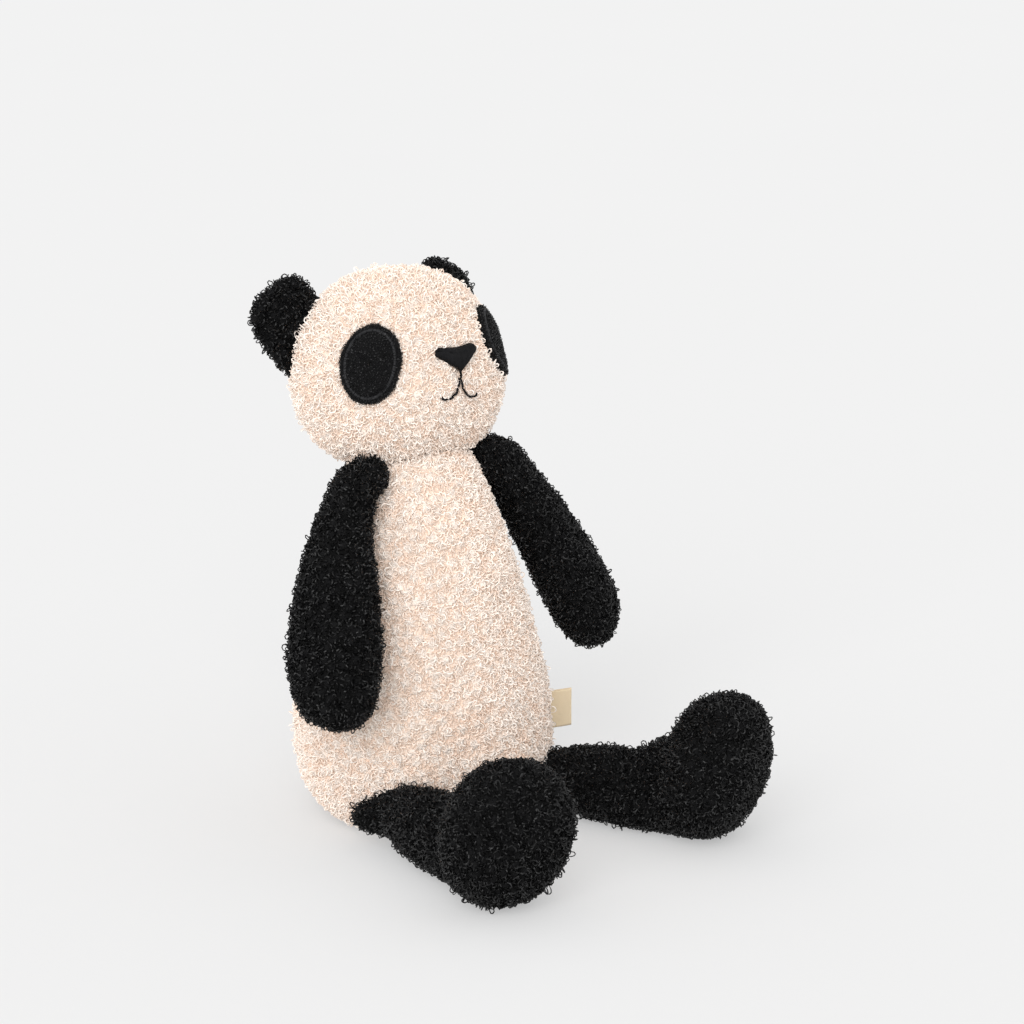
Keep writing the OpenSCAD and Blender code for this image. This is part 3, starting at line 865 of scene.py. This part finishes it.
def shape_arm(side, way):
    """Gives an arm its bow, its sloping shoulder and its full hand."""
    arm = limbs[side + "_arm"]
    shoulder = joint_at(side + "_arm_swing")
    tip = farthest(side + "_arm", shoulder)
    low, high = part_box(side + "_arm")
    fill_out(arm, Vector((0, 1, 0)), ARM_BACK, (low + high) / 2, 50)
    shift(arm, Vector((way * 0.81, 0.59, 0)) * BOW[side] * MM, shoulder.lerp(tip, 0.24), 30)
    shift(arm, Vector((-way * 0.81, 0.59, 0)) * HAND_IN[side] * MM, shoulder.lerp(tip, 0.75), 45)
    drop = Vector((0, 0, -SHOULDER_DROP[side])) * MM
    shift(arm, drop, shoulder + Vector((way * 4, 0, 12)) * MM, 17)
    plump(arm, HAND[side], shoulder.lerp(tip, 0.82), 34)


def shape_head_and_trunk(way):
    """Fills out one cheek, jowl and side of the muzzle, and one flank."""
    turn = HEAD.to_3x3()
    cheek = aim(way * 105, 2)
    jowl = aim(way * 70, -50)
    muzzle = aim(way * 36, -12)
    fill_out(skull, turn @ cheek, CHEEK, HEAD @ (cheek * 50 * MM), 28)
    fill_out(skull, Vector((0, 0, -1)), JOWL, HEAD @ (jowl * 46 * MM), 22)
    fill_out(skull, turn @ muzzle, MUZZLE, HEAD @ (muzzle * 50 * MM), 14)
    fill_out(trunk, Vector((way, -0.3, 0)), FLANK, Vector((way * 62, -10, 54)) * MM, 26)


for side, way in SIDES:
    shape_leg(side)
    shape_arm(side, way)
    shape_head_and_trunk(way)
draw_in(trunk, body_heading, BODY_SEAM_AZ, 0.06, SEAM_DEEP, 0.004)
draw_in(skull, head_heading, HEAD_SEAM_AZ, 0.05, SEAM_DEEP, 0.004)
for seed, obj in enumerate(stuffed):
    finish_cover(obj, 0.5, seed)
trees = {name: tree_of(obj) for name, obj in {"trunk": trunk, "skull": skull, **limbs}.items()}


# Face: patches, stitches, nose and mouth on the head's cover


def face_frame(az, el, lean=0.0):
    return (
        HEAD
        @ Matrix.Rotation(math.radians(az), 4, "Z")
        @ Matrix.Rotation(math.radians(90 - el), 4, "X")
        @ Matrix.Rotation(math.radians(lean), 4, "Z")
    )


def on_face(place, spots):
    """Points over the head's cover, from flat places and heights over the cover in millimetres."""
    out = (place.to_3x3() @ Vector((0, 0, 1))).normalized()
    found = []
    for u, v, height in spots:
        start = place @ (Vector((u, v, 150)) * MM)
        hit = trees["skull"].ray_cast(start, -out)[0]
        found.append(tuple(hit + (hit - HEAD.translation).normalized() * (height * MM)))
    return np.array(found)


EYE = (29.0, 37.5)
EYE_LEAN = {"right": -14.0, "left": 26.0}
EYE_AT = {"right": (-51.0, 4.0), "left": (48.0, 7.0)}
EYE_DEEP = 15.5
EYE_TUCK = 0.6
EYE_COLUMNS = 96
EYE_ROWS = 22
EYE_STITCHES = 150
EYE_STITCH_AT = 2.0
EYE_STITCH_LONG = 2.1
EYE_THREAD = 0.26
NAP_PITCH = 0.95
NAP_SIZE = 0.6
NAP_YARN = 0.19
NAP_TUFT = 1.6
NAP_TUFT_PITCH = 2.6


def patch_height(edge):
    """Height of an eye patch at a distance from its edge, with a rim, a groove and a soft middle."""
    rim = 2.5 * math.sqrt(1 - (1 - min(edge / 1.1, 1)) ** 2)
    groove = 0.6 * math.exp(-(((edge - 2.9) / 0.8) ** 2))
    middle = 0.5 * (1 - math.exp(-max(edge - 3, 0) / 4))
    return rim - groove + middle


def eye_frame(side):
    az, el = EYE_AT[side]
    return face_frame(az, el, EYE_LEAN[side])


def eye_rim(angle):
    """Flat places on the rim of an eye patch."""
    return np.stack([EYE[0] / 2 * np.cos(angle), EYE[1] / 2 * np.sin(angle)], axis=-1)


def eye_cloth(side, way):
    """An eye patch with a slightly uneven rim, tucked into the pile at its edge."""
    angles = np.arange(EYE_COLUMNS) * 2 * math.pi / EYE_COLUMNS
    uneven = 1 + 0.012 * np.sin(5 * angles + way) + 0.008 * np.sin(9 * angles)
    half = eye_rim(angles) * uneven[:, None]
    spots = []
    for edge in 16 * (np.linspace(0, 1, EYE_ROWS) ** 1.8):
        share = max(1 - edge / EYE_DEEP, 0.02)
        height = patch_height(edge) - (EYE_TUCK if edge == 0 else 0)
        spots.append(np.column_stack([half * share, np.full(EYE_COLUMNS, height)]))
    co = on_face(eye_frame(side), np.concatenate(spots))
    co += np.random.default_rng(7).normal(0, 0.05 * MM, co.shape)
    faces = tube_faces(EYE_ROWS - 1, EYE_COLUMNS)
    patch = dress(make(side + "_eye_cloth", co, faces), black_ground)
    give_tone_and_shade(patch, np.full(len(co), 0.7))
    return patch


def eye_stitches(side, way):
    """A ring of short stitches across the groove of an eye patch."""
    place = eye_frame(side)
    rng = np.random.default_rng(31 + way)
    stitches = []
    for k in range(EYE_STITCHES):
        a = 2 * math.pi * (k + rng.uniform(-0.15, 0.15)) / EYE_STITCHES
        rim = eye_rim(a)
        far = np.linalg.norm(rim)
        turned = eye_rim(a + rng.uniform(0.02, 0.05))
        path = []
        for t in np.linspace(0, 1, 5):
            edge = EYE_STITCH_AT + rng.uniform(-0.05, 0.05) + EYE_STITCH_LONG * t
            flat = (rim * (1 - t) + turned * t) * (1 - edge / far)
            path.append((*flat, 1.75 + 0.9 * math.sin(math.pi * t)))
        stitches.append(on_face(place, path))
    return dress(threads(side + "_eye_stitches", stitches, EYE_THREAD, 3), eye_thread)


def eye_nap(side, way, patch):
    """Short yarn loops on an eye patch."""
    points, normals = scatter(patch, NAP_PITCH, 17 + way)
    knots = tree_of_points(scatter(patch, NAP_TUFT_PITCH, 23 + way)[0])
    name = side + "_eye_nap"
    nap = curls(name, points, normals, 19 + way, NAP_SIZE, NAP_YARN, knots, NAP_TUFT, 0.0)
    return dress(nap, eye_yarn)


NOSE_HALF = 11.75
NOSE_HIGH = 11.8
NOSE_ASIDE = 1.0
NOSE_CORNER = 2.4
NOSE_TIP = 2.88
NOSE_TOP = 7.0
NOSE_STITCH = 0.4
NOSE_THREAD = 0.42


def nose_top(x):
    over = max(0, abs(x) - (NOSE_HALF - NOSE_CORNER))
    dip = 0.7 * max(0, 1 - (x / 8) ** 2)
    return NOSE_TOP - NOSE_CORNER + math.sqrt(max(0, NOSE_CORNER**2 - over**2)) - dip


def nose_foot(x):
    """Lower edge of the nose: what a circle sweeps from the tip to a corner."""
    t = np.linspace(0, 1, 60)
    middle = (NOSE_HALF - NOSE_CORNER) * t
    level = (NOSE_TIP - NOSE_HIGH) * (1 - t) - NOSE_CORNER * t
    radius = NOSE_TIP * (1 - t) + NOSE_CORNER * t
    under = radius**2 - (abs(x) - middle) ** 2
    return NOSE_TOP + (level - np.sqrt(np.maximum(under, 0)))[under >= 0].min(initial=-NOSE_CORNER)


def nose():
    """Upright satin stitches side by side, raised in the middle."""
    place = face_frame(0, 0)
    rng = np.random.default_rng(41)
    paths = []
    for x in np.arange(-NOSE_HALF + 0.25, NOSE_HALF, NOSE_STITCH):
        top, foot = nose_top(x), nose_foot(x)
        path = []
        for t in np.linspace(0, 1, 9):
            crown = (1 - (2 * t - 1) ** 4) * (1 - (x / (NOSE_HALF + 1)) ** 4)
            bend = 0.12 * math.sin(3 * t + x)
            aside = NOSE_ASIDE + x + bend + rng.uniform(-0.04, 0.04)
            path.append((aside, top + (foot - top) * t, 1.1 + 2.0 * crown))
        paths.append(on_face(place, path))
    return dress(threads("nose_stitches", paths, NOSE_THREAD, 5), black_thread)


MOUTH_TOP = NOSE_TOP - NOSE_HIGH + 0.7
MOUTH_LINE = 4.2
MOUTH_R = 6.8
MOUTH_DROP = 9.4
MOUTH_ARC = 120
MOUTH_THREAD = 0.58
MOUTH_STITCH = 6
# How deep the upright line and the two arcs are sunk in the pile, in millimetres
MOUTH_SUNK = (0, 1.5, 0)


def mouth_routes():
    """Flat routes of the mouth's thread: the upright line and both arcs."""
    routes = [[(0.15 * math.sin(4 * t), MOUTH_TOP - MOUTH_LINE * t) for t in np.linspace(0, 1, 19)]]
    low = MOUTH_TOP - MOUTH_LINE
    for way in (-1, 1):
        route = []
        for a in np.radians(np.linspace(180, 180 + MOUTH_ARC, 25)):
            route.append((way * (MOUTH_R + MOUTH_R * math.cos(a)), low + MOUTH_DROP * math.sin(a)))
        routes.append(route)
    return routes


def mouth():
    """Running stitches down from the nose and out along both halves of the smile."""
    place = face_frame(0, 0)
    paths = []
    for route, sunk in zip(mouth_routes(), MOUTH_SUNK):
        for first in range(0, len(route) - MOUTH_STITCH, MOUTH_STITCH):
            path = []
            for k, (u, v) in enumerate(route[first : first + MOUTH_STITCH + 1]):
                path.append((u, v, 1.2 - sunk + 1.1 * math.sin(math.pi * k / MOUTH_STITCH) ** 0.6))
            paths.append(on_face(place, path))
    return dress(threads("mouth_stitches", paths, MOUTH_THREAD, 6), black_thread)


# Label: a folded tape in the left side seam
LABEL_AZ = -15.0
LABEL_RUN = 19.0
LABEL_FOLD = 0.5
LABEL_BOW = 0.25
LABEL_THICK = 0.35
LABEL_ROWS = 21


def label_route():
    """The tape's section: out to the fold on one side and back on the other."""
    ways = np.linspace(0, 1, 22)
    bends = np.linspace(0.2, math.pi - 0.2, 9)
    route = [(-LABEL_RUN * (1 - t), LABEL_FOLD + LABEL_BOW * math.sin(math.pi * t)) for t in ways]
    route += [(LABEL_FOLD * math.sin(a), LABEL_FOLD * math.cos(a)) for a in bends]
    route += [(-LABEL_RUN * t, -LABEL_FOLD - LABEL_BOW * math.sin(math.pi * t)) for t in ways]
    return route


def label():
    """The folded tape, a little curled and wavy, with its cloth laid out in a map for the weave."""
    heading = math.radians(LABEL_AZ)
    out = Vector((math.cos(heading), math.sin(heading), 0))
    aside = Vector((-out.y, out.x, 0))
    flat = [Vector((v.co.x, v.co.y, 0)) for v in frame["nodes"]["side_label"].data.vertices]
    tip = max(p.dot(out) for p in flat)
    level = sum(p.dot(aside) for p in flat) / len(flat)
    low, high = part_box("side_label")
    tall = (high.z - low.z) / MM
    route = label_route()
    co = []
    uv = []
    walked = 0.0
    last = route[0]
    for x, y in route:
        walked += math.hypot(x - last[0], y - last[1])
        last = (x, y)
        for k in range(LABEL_ROWS):
            z = tall * k / (LABEL_ROWS - 1)
            outward = math.sin(math.pi * (x + LABEL_RUN) / LABEL_RUN / 2)
            curl = 0.35 * outward * math.sin(2.2 * z / tall + 0.4)
            spot = out * (tip - (LABEL_FOLD - x) * MM) + aside * (level + (y + curl) * MM)
            co.append((spot.x, spot.y, low.z + z * MM + 0.25 * MM * math.sin(x / 5)))
            uv.append((walked, z))
    row, k = np.meshgrid(np.arange(len(route) - 1), np.arange(LABEL_ROWS - 1), indexing="ij")
    here = row * LABEL_ROWS + k
    there = here + LABEL_ROWS
    faces = np.stack([here, there, there + 1, here + 1], axis=-1).reshape(-1, 4)
    obj = make("side_label_tape", np.array(co), faces)
    weave = obj.data.uv_layers.new(name="weave")
    weave.data.foreach_set("uv", np.array(uv, np.float32)[faces.ravel()].ravel())
    thick = obj.modifiers.new("thick", "SOLIDIFY")
    thick.thickness = LABEL_THICK * MM
    thick.offset = 0
    apply_modifiers(obj)
    return obj


def tape_material():
    """Woven tape with warp and weft ribs."""
    made, nodes, links, principled = shader("woven_tape", Specular_IOR_Level=0.3, Sheen_Weight=0.15)
    place = nodes.new("ShaderNodeUVMap")
    place.uv_map = "weave"
    ribs = []
    for way in ("X", "Y"):
        rib = nodes.new("ShaderNodeTexWave")
        rib.bands_direction = way
        rib.inputs["Scale"].default_value = 0.55
        rib.inputs["Distortion"].default_value = 0.4
        links.new(place.outputs["UV"], rib.inputs["Vector"])
        ribs.append(rib.outputs["Fac"])
    both = maths(nodes, links, "MULTIPLY", *ribs)
    stops = [(0.0, (0.88, 0.70, 0.46)), (0.6, (0.96, 0.82, 0.60)), (1.0, (0.98, 0.88, 0.68))]
    colour_from(nodes, links, principled, both, stops)
    bump(nodes, links, principled, both, 0.5, 0.0002)
    rough_from(nodes, links, principled, both, 0.85, 0.65)
    return made


eyes = {}
for side, way in SIDES:
    cloth = eye_cloth(side, way)
    eyes[side] = (cloth, eye_stitches(side, way), eye_nap(side, way, cloth))
nose_piece = nose()
mouth_piece = mouth()
label_piece = dress(label(), tape_material())

# Pile on the covers
PITCH = 1.35
SIZE = 1.35
YARN = 0.34
CREAM_STRAYS = 0.025
BLACK_STRAYS = 0.045
TUFT = 2.9
TUFT_RISE = 1.3
TUFT_PITCH = 4.6


def pile(obj, name, seed, light, keep, tufts):
    """Curls all over a cover, where every test in keep allows them."""
    points, normals = scatter(obj, PITCH, seed)
    for test in keep:
        good = test(points)
        points, normals = points[good], normals[good]
    strays = CREAM_STRAYS if light else BLACK_STRAYS
    made = curls(name, points, normals, seed + 1, SIZE, YARN, tufts, TUFT, strays)
    return dress(made, cream_yarn if light else black_yarn)


def clear_tests(names, depth):
    return [lambda p, n=n: clear_of(p, trees[n], depth) for n in names]


def off_eyes(points):
    """Which points lie outside both eye patches."""
    out = np.ones(len(points), bool)
    for side in EYE_AT:
        u, v, w = seen_flat(points, eye_frame(side)).T
        out &= (w < 0) | (np.hypot(u / (EYE[0] / 2 - 0.2), v / (EYE[1] / 2 - 0.2)) > 1)
    return out


def off_muzzle(points):
    """Which points lie outside the nose and the mouth's thread."""
    u, v, w = seen_flat(points, face_frame(0, 0)).T
    x = u - NOSE_ASIDE
    side = np.minimum(np.abs(x), NOSE_HALF - 0.01)
    top = np.array([nose_top(x) for x in side])
    foot = np.array([nose_foot(x) for x in side])
    on_nose = (np.abs(x) < NOSE_HALF + 0.3) & (v < top + 0.3) & (v > foot - 0.3)
    path = np.array([spot for route in mouth_routes() for spot in route])
    far = np.sqrt(((np.stack([u, v], axis=1)[:, None] - path[None]) ** 2).sum(axis=2)).min(axis=1)
    return (w < 0) | ~(on_nose | (far < 0.75))


LIMBS = ["right_arm", "left_arm", "right_leg", "left_leg"]


def keep_tests(name):
    """Tests of where a cover shows, so that no curls lie deep inside another piece."""
    if name.startswith("body"):
        return clear_tests(["skull", *LIMBS], 3)
    if name.startswith("head"):
        return clear_tests(["trunk", "right_ear", "left_ear"], 2.5) + [off_eyes, off_muzzle]
    if name.endswith("ear"):
        return clear_tests(["skull"], 2)
    return clear_tests(["trunk"], 4)


def is_front(co):
    return np.abs(body_heading(co)) < BODY_SEAM_AZ


def is_face(co):
    return np.abs(head_heading(co)) < HEAD_SEAM_AZ


tufts_of = {}
for seed, (name, obj) in enumerate({"body": trunk, "head": skull, **limbs}.items()):
    tufts_of[name] = tree_of_points(scatter(obj, TUFT_PITCH, 60 + seed)[0])
    puff(obj, tufts_of[name])
covers = {}
covers["body_front"], covers["body_back"] = split(trunk, "body_front_cover", "body_back_cover", is_front)
covers["head_face"], covers["head_back"] = split(skull, "head_face_cover", "head_back_cover", is_face)
covers.update(limbs)
piles = {}
for seed, (name, obj) in enumerate(covers.items()):
    light = name.startswith(("body", "head"))
    tufts = tufts_of[name.split("_")[0] if light else name]
    dress(obj, cream_ground if light else black_ground)
    piles[name] = pile(obj, name + "_curls", 100 + 7 * seed, light, keep_tests(name), tufts)

# Stuffing inside the covers
fillings = {}
for name in ("body", "head", *LIMBS):
    fillings[name] = rough_cover(name + "_stuffing", [solid(name + "_filling")], 6, 2.0)
    dress(fillings[name], fibre)
    give_tone_and_shade(fillings[name], np.full(len(fillings[name].data.vertices), 0.5))

# What each piece stands for, and what the body, ear, face, filling and label pieces move with
NODE_OF = {
    "body_front": "body_front_panel",
    "body_back": "body_back_panel",
    "head_face": "head_face_panel",
    "head_back": "head_back_panel",
}
for name, obj in covers.items():
    light = name.startswith(("body", "head"))
    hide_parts(NODE_OF.get(name, name))
    for piece in (obj, piles[name]):
        if name.startswith("body"):
            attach(piece, "torso")
        elif name.startswith("head"):
            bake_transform(piece)
        elif name.endswith("ear"):
            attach(piece, "head")
        else:
            side, limb = name.split("_")
            at = joint_at(name + ("_swing" if limb == "arm" else "_spread"))
            far = farthest(name, at)
            if limb == "leg":
                far.z = at.z
            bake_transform(piece)
for name, obj in fillings.items():
    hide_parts(name + "_filling")
    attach(obj, {"body": "torso"}.get(name, name))
for side, (patch, border, nap) in eyes.items():
    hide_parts(side + "_eye_patch")
    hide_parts(side + "_eye_border")
    for piece in (patch, border, nap):
        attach(piece, "head")
for piece, node in ((nose_piece, "nose"), (mouth_piece, "mouth_thread")):
    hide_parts(node)
    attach(piece, "head")
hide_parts("side_label")
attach(label_piece, "torso")
for node in ("neck", "right_shoulder", "left_shoulder", "right_hip", "left_hip"):
    dress(frame["nodes"][node + "_seam"], black_thread)


# Studio: a pale floor, an even sky and a soft lamp from the upper left
BACKDROP = (0.888, 0.888, 0.888, 1)
FLOOR_SIZE = 14.0
FLOOR_GLOW = 0.45
SKY_LIGHT = 0.88


def straight_rays(nodes, links):
    """1 for rays from the camera, mirrors and glass, which show the backdrop."""
    path = nodes.new("ShaderNodeLightPath")
    found = path.outputs["Is Camera Ray"]
    for ray in ("Is Glossy Ray", "Is Transmission Ray"):
        found = maths(nodes, links, "MAXIMUM", found, path.outputs[ray])
    return found


def mix_shaders(nodes, links, share, first, second, output):
    choose = nodes.new("ShaderNodeMixShader")
    links.new(share, choose.inputs["Fac"])
    links.new(first, choose.inputs[1])
    links.new(second, choose.inputs[2])
    links.new(choose.outputs["Shader"], nodes[output].inputs["Surface"])


def stage():
    far = FLOOR_SIZE
    corners = np.array([(-far, -far, 0), (far, -far, 0), (far, far, 0), (-far, far, 0)])
    floor = make("floor", corners, np.array([[0, 1, 2, 3]]))
    made, nodes, links, principled = shader("pale_floor", Roughness=0.9, Specular_IOR_Level=0.0)
    stops = [(0.3, (0.772, 0.772, 0.772)), (0.7, (0.776, 0.776, 0.776))]
    colour_from(nodes, links, principled, noise(nodes, links, 3), stops)
    pale = nodes.new("ShaderNodeEmission")
    pale.inputs["Color"].default_value = BACKDROP
    share = maths(nodes, links, "MULTIPLY", straight_rays(nodes, links), FLOOR_GLOW)
    lit = principled.outputs["BSDF"]
    mix_shaders(nodes, links, share, lit, pale.outputs["Emission"], "Material Output")
    dress(floor, made)


def sky():
    world = bpy.data.worlds.new("sky")
    bpy.context.scene.world = world
    world.use_nodes = True
    nodes, links = world.node_tree.nodes, world.node_tree.links
    light = nodes["Background"]
    light.inputs["Color"].default_value = (1, 1, 1, 1)
    light.inputs["Strength"].default_value = SKY_LIGHT
    seen = nodes.new("ShaderNodeBackground")
    seen.inputs["Color"].default_value = BACKDROP
    share = straight_rays(nodes, links)
    backgrounds = (light.outputs["Background"], seen.outputs["Background"])
    mix_shaders(nodes, links, share, *backgrounds, "World Output")


def lamp(name, az, el, strength, width):
    data = bpy.data.lights.new(name, "SUN")
    data.energy = strength
    data.angle = math.radians(width)
    obj = bpy.data.objects.new(name, data)
    bpy.context.scene.collection.objects.link(obj)
    obj.rotation_mode = "QUATERNION"
    obj.rotation_quaternion = aim(az, el).to_track_quat("Z", "Y")


# The view: heading and height in degrees, place in millimetres, focal length in pixels
VIEW_AZ = -36.04
VIEW_EL = 15.04
VIEW_RIGHT = 42.73
VIEW_UP = 147.79
VIEW_FAR = 1600.0
VIEW_FOCAL = 3179.4
VIEW_PIXELS = 1024
SENSOR = 36


def camera():
    back = aim(VIEW_AZ, VIEW_EL)
    heading = math.radians(VIEW_AZ)
    right = Vector((math.cos(heading), math.sin(heading), 0))
    up = back.cross(right)
    data = bpy.data.cameras.new("camera")
    data.sensor_width = SENSOR
    data.lens = VIEW_FOCAL / VIEW_PIXELS * SENSOR
    obj = bpy.data.objects.new("camera", data)
    bpy.context.scene.collection.objects.link(obj)
    turn = Matrix((right, up, back)).transposed().to_4x4()
    place = (right * VIEW_RIGHT + up * VIEW_UP + back * VIEW_FAR) * MM
    obj.matrix_world = Matrix.Translation(place) @ turn
    bpy.context.scene.camera = obj


stage()
sky()
lamp("key", -48, 28, 1.8, 50)
camera()
bpy.context.scene.view_settings.view_transform = "Standard"
